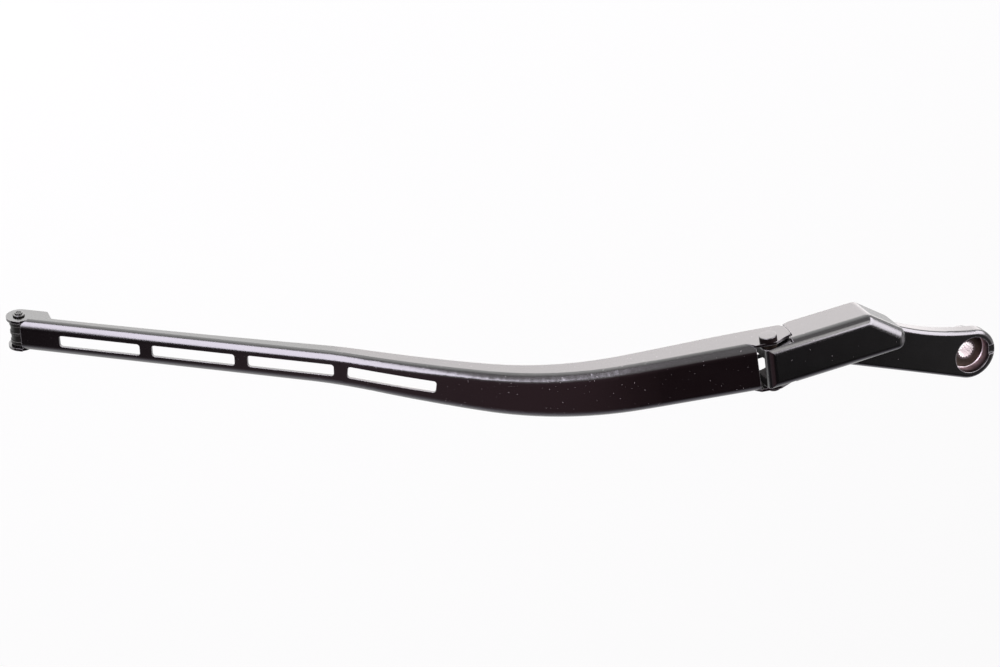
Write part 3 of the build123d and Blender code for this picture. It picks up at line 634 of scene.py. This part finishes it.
toothSet = {"count": 18, "depth": 0.85, "low": 0.5, "high": 11.19, "boreRadius": 5.6,
            "perTooth": 6, "backing": 0.35}


def spindleTeeth(look):
    # radius is the bore's own, less a triangle wave round the axis;
    # the back of the ring is a plain sleeve in the metal
    turn = np.linspace(0, 2 * math.pi, look["count"] * look["perTooth"], endpoint=False)
    wave = 1 - np.abs(((turn * look["count"] / (2 * math.pi)) % 1) * 2 - 1)
    front = look["boreRadius"] - look["depth"] * wave
    back = np.full_like(turn, look["boreRadius"] + look["backing"])
    radius = np.stack([front, front, back, back])
    rise = np.array([look["high"], look["low"], look["low"], look["high"]])[:, None] + 0 * radius
    return np.stack([radius * np.cos(turn), radius * np.sin(turn), rise], -1) * mm


boreTeeth = gridPiece("boreTeeth", spindleTeeth(toothSet), metals["spindleMetal"], "head",
                      closeAlong=True)
boreTeeth.data.shade_flat()
print("bore teeth cut:", toothSet["count"])


# The hinge pin and the connector's rivet, turned about their own lines.

# corners run from the foot's middle to the head's: radius, height along the line, rounding
pinSet = {
    "middle": pinMiddle, "line": pinLine, "around": 96,
    "corners": [(0.0, -17.6, 0.0), (4.2, -17.6, 0.75), (4.2, -16.1, 0.04), (2.75, -16.1, 0.04),
                (2.75, 16.1, 0.04), (5.4, 16.1, 0.10), (5.4, 19.5, 0.50), (0.0, 19.62, 0.0)],
}
rivetSet = {
    "middle": rivetMiddle, "line": rivetLine, "around": 72,
    "corners": [(0.0, -11.1, 0.0), (3.4, -11.1, 0.35), (3.7, -10.6, 0.04), (2.5, -10.6, 0.04),
                (2.5, 10.6, 0.04), (3.7, 10.6, 0.06), (3.7, 11.75, 0.25), (2.55, 11.9, 0.10),
                (2.30, 12.8, 0.15), (1.60, 12.8, 0.08), (1.45, 12.5, 0.06), (1.15, 12.5, 0.06),
                (0.95, 12.8, 0.12), (0.0, 12.84, 0.0)],
}
turnSet = {"bendSteps": 7, "holdReach": 1.5}  # holding points stand this many roundings off a corner


def turnProfile(look, bends):
    # each corner is a short curve between two points its rounding away from it,
    # and the whole profile goes round the line
    corners = np.array(look["corners"])
    spot, rounding = corners[:, :2], corners[:, 2:]
    step = np.diff(spot, axis=0)
    step /= np.linalg.norm(step, axis=1)[:, None]
    before, after = np.vstack([step[:1], step]), np.vstack([step, step[-1:]])
    share = np.linspace(0, 1, bends["bendSteps"])[:, None, None]
    bend = spot - rounding * before * (1 - share) ** 2 + rounding * after * share ** 2
    hold = bends["holdReach"] * rounding
    held = np.concatenate([(spot - hold * before)[None], bend, (spot + hold * after)[None]])
    radius, rise = held.transpose(1, 0, 2).reshape(-1, 2).T
    line = np.array(look["line"])
    first = np.cross(line, (0.0, 0.0, 1.0))
    first /= np.linalg.norm(first)
    second = np.cross(line, first)
    turn = np.linspace(0, 2 * math.pi, look["around"], endpoint=False)[:, None]
    ring = np.cos(turn) * first + np.sin(turn) * second
    return (np.array(look["middle"]) + radius[:, None, None] * ring + rise[:, None, None] * line) * mm


turnedPin = gridPiece("turnedPin", turnProfile(pinSet, turnSet), pinPaint, "arm")
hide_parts("hinge_pin")
turnedRivet = gridPiece("turnedRivet", turnProfile(rivetSet, turnSet), rivetBlack, "arm")
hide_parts("connector_rivet")
print("pin and rivet turned")


# Floor, world and lamps.

floorSet = {
    "height": -0.95, "half": 14.0, "glow": 0.90,
    "plain": (0.80, 0.80, 0.80, 1), "faint": (0.10, 0.10, 0.10, 1),
}


def makeFloor(look):
    # a plain pale floor for soft light,
    # which the lens and mirrored rays see as an even glow with faint shadows
    material = bpy.data.materials.new("paleFloor")
    material.use_nodes = True
    tree = material.node_tree
    tree.nodes.clear()
    rays = addNode(tree, "ShaderNodeLightPath").outputs
    seen = doMath(tree, "ADD", rays["Is Camera Ray"], rays["Is Glossy Ray"], clamp=True)
    plain = addNode(tree, "ShaderNodeBsdfDiffuse")
    plain.inputs["Color"].default_value = look["plain"]
    faint = addNode(tree, "ShaderNodeBsdfDiffuse")
    faint.inputs["Color"].default_value = look["faint"]
    glow = addNode(tree, "ShaderNodeEmission")
    glow.inputs["Strength"].default_value = look["glow"]
    both = addNode(tree, "ShaderNodeAddShader")
    feed(tree, both.inputs[0], glow.outputs[0])
    feed(tree, both.inputs[1], faint.outputs[0])
    pick = addNode(tree, "ShaderNodeMixShader")
    feed(tree, pick.inputs[0], seen)
    feed(tree, pick.inputs[1], plain.outputs[0])
    feed(tree, pick.inputs[2], both.outputs[0])
    feed(tree, addNode(tree, "ShaderNodeOutputMaterial").inputs[0], pick.outputs[0])
    side = np.array([-1.0, 1.0]) * look["half"]
    across, along = np.meshgrid(side, side)
    flat = np.stack([across, along, np.full_like(across, look["height"])], -1)
    mesh = bpy.data.meshes.new("floor")
    mesh.from_pydata(flat.reshape(-1, 3), [], [(0, 1, 3, 2)])
    mesh.materials.append(material)
    floor = bpy.data.objects.new("floor", mesh)
    scene.collection.objects.link(floor)


makeFloor(floorSet)

# tones: the dark part's colour from left to right, each at the right component of a direction
worldSet = {
    "room": (0.50, 0.48, 0.49, 1), "roomAxis": (0.0, 0.966, 0.259), "roomEdge": (-0.17, 0.10),
    "lowTone": (0.62, 0.59, 0.67, 1), "lowAxis": (0.0, -0.50, -0.866), "lowEdge": (0.12, 0.75),
    "lowShift": 0.20, "shiftEdge": (0.0, 0.6),
    "tones": [(-0.490, (0.003, 0.003, 0.003, 1)), (-0.450, (0.145, 0.108, 0.122, 1)),
              (-0.30, (0.138, 0.090, 0.104, 1)), (-0.18, (0.120, 0.070, 0.082, 1)),
              (0.06, (0.130, 0.074, 0.087, 1)), (0.21, (0.026, 0.010, 0.012, 1)),
              (0.25, (0.003, 0.003, 0.003, 1)), (0.67, (0.003, 0.003, 0.003, 1)),
              (0.73, (0.060, 0.058, 0.058, 1)), (0.80, (0.270, 0.260, 0.262, 1)),
              (0.86, (0.300, 0.290, 0.295, 1)), (0.93, (0.95, 0.90, 0.95, 1))],
}


def viewWay(way):
    return (viewRight * way[0] + viewUp * way[1] + viewToward * way[2]).normalized()


def makeWorld(look):
    # a dim part in front of the arm, a pale room above it, and a pale part below and behind
    world = bpy.data.worlds.new("studio")
    scene.world = world
    world.use_nodes = True
    tree = world.node_tree
    way = addNode(tree, "ShaderNodeTexCoord").outputs["Generated"]
    toRight, toRoom, toLow = [doVector(tree, "DOT_PRODUCT", way, axis) for axis in (
        viewRight, viewWay(look["roomAxis"]), viewWay(look["lowAxis"]))]
    over = mapRange(tree, toRoom, *look["roomEdge"], 0.0, 1.0, smooth=True)
    shift = mapRange(tree, toRight, *look["shiftEdge"], 0.0, look["lowShift"])
    low = doMath(tree, "SUBTRACT", toLow, shift)
    low = mapRange(tree, low, *look["lowEdge"], 0.0, 1.0, smooth=True)
    ramp = addNode(tree, "ShaderNodeValToRGB")
    feed(tree, ramp.inputs[0], mapRange(tree, toRight, -1.0, 1.0, 0.0, 1.0))
    stops = ramp.color_ramp.elements
    for place, tone in look["tones"][2:]:
        stops.new(place * 0.5 + 0.5).color = tone
    for stop, (place, tone) in zip(stops, look["tones"]):
        stop.position, stop.color = place * 0.5 + 0.5, tone
    color = mixColor(tree, low, mixColor(tree, over, ramp.outputs[0], look["room"]), look["lowTone"])
    feed(tree, tree.nodes["Background"].inputs["Color"], color)


makeWorld(worldSet)

# each lamp: aim in metres, the way to it as right, up and toward the lens, its distance, size and radiance
lampSet = {
    "keyLeft": {"aim": (-0.30, 0.06, -0.06), "way": (-0.42, 0.37, 0.83), "far": 1.3, "roll": 8.0,
                "size": (0.92, 1.50), "radiance": 4.7, "tint": (1.03, 0.965, 1.12)},
    "fillRight": {"aim": (-0.06, 0.02, 0.02), "way": (0.86, 0.29, 0.42), "far": 1.0, "roll": 0.0,
                  "size": (0.52, 1.50), "radiance": 5.0, "tint": (1.03, 0.97, 1.06)},
    "softRight": {"aim": (-0.09, 0.03, 0.02), "way": (0.54, 0.22, 0.81), "far": 1.1, "roll": 0.0,
                  "size": (0.32, 0.50), "radiance": 1.9, "tint": (1.02, 0.99, 0.98)},
    "backTop": {"aim": (-0.132, 0.035, 0.013), "way": (0.10, 0.72, -0.69), "far": 0.75, "roll": 0.0,
                "size": (0.75, 0.62), "radiance": 1.90, "tint": (1.05, 0.98, 0.99)},
    "backLeft": {"aim": (-0.696, 0.132, -0.198), "way": (0.10, 0.72, -0.69), "far": 0.75, "roll": 0.0,
                 "size": (0.47, 0.62), "radiance": 1.45, "tint": (1.01, 1.0, 0.985)},
    "overTop": {"aim": (-0.26, 0.05, -0.03), "way": (-0.15, 0.96, -0.20), "far": 0.80, "roll": 0.0,
                "size": (1.00, 0.45), "radiance": 0.5, "tint": (1.01, 1.0, 0.98)},
}


def hangLamp(name, look):
    way = viewWay(look["way"])
    data = bpy.data.lights.new(name, "AREA")
    data.shape = "RECTANGLE"
    data.size, data.size_y = look["size"]
    data.energy = look["radiance"] * math.pi * data.size * data.size_y
    data.color = look["tint"]
    lamp = bpy.data.objects.new(name, data)
    scene.collection.objects.link(lamp)
    across = (viewRight - way * viewRight.dot(way)).normalized()
    across.rotate(Quaternion(way, math.radians(look["roll"])))
    lamp.matrix_world = standAxes(across, way.cross(across), way, Vector(look["aim"]) + way * look["far"])
    lamp.visible_camera = False


for lampName, lampLook in lampSet.items():
    hangLamp(lampName, lampLook)
print("stage set:", len(lampSet), "lamps")
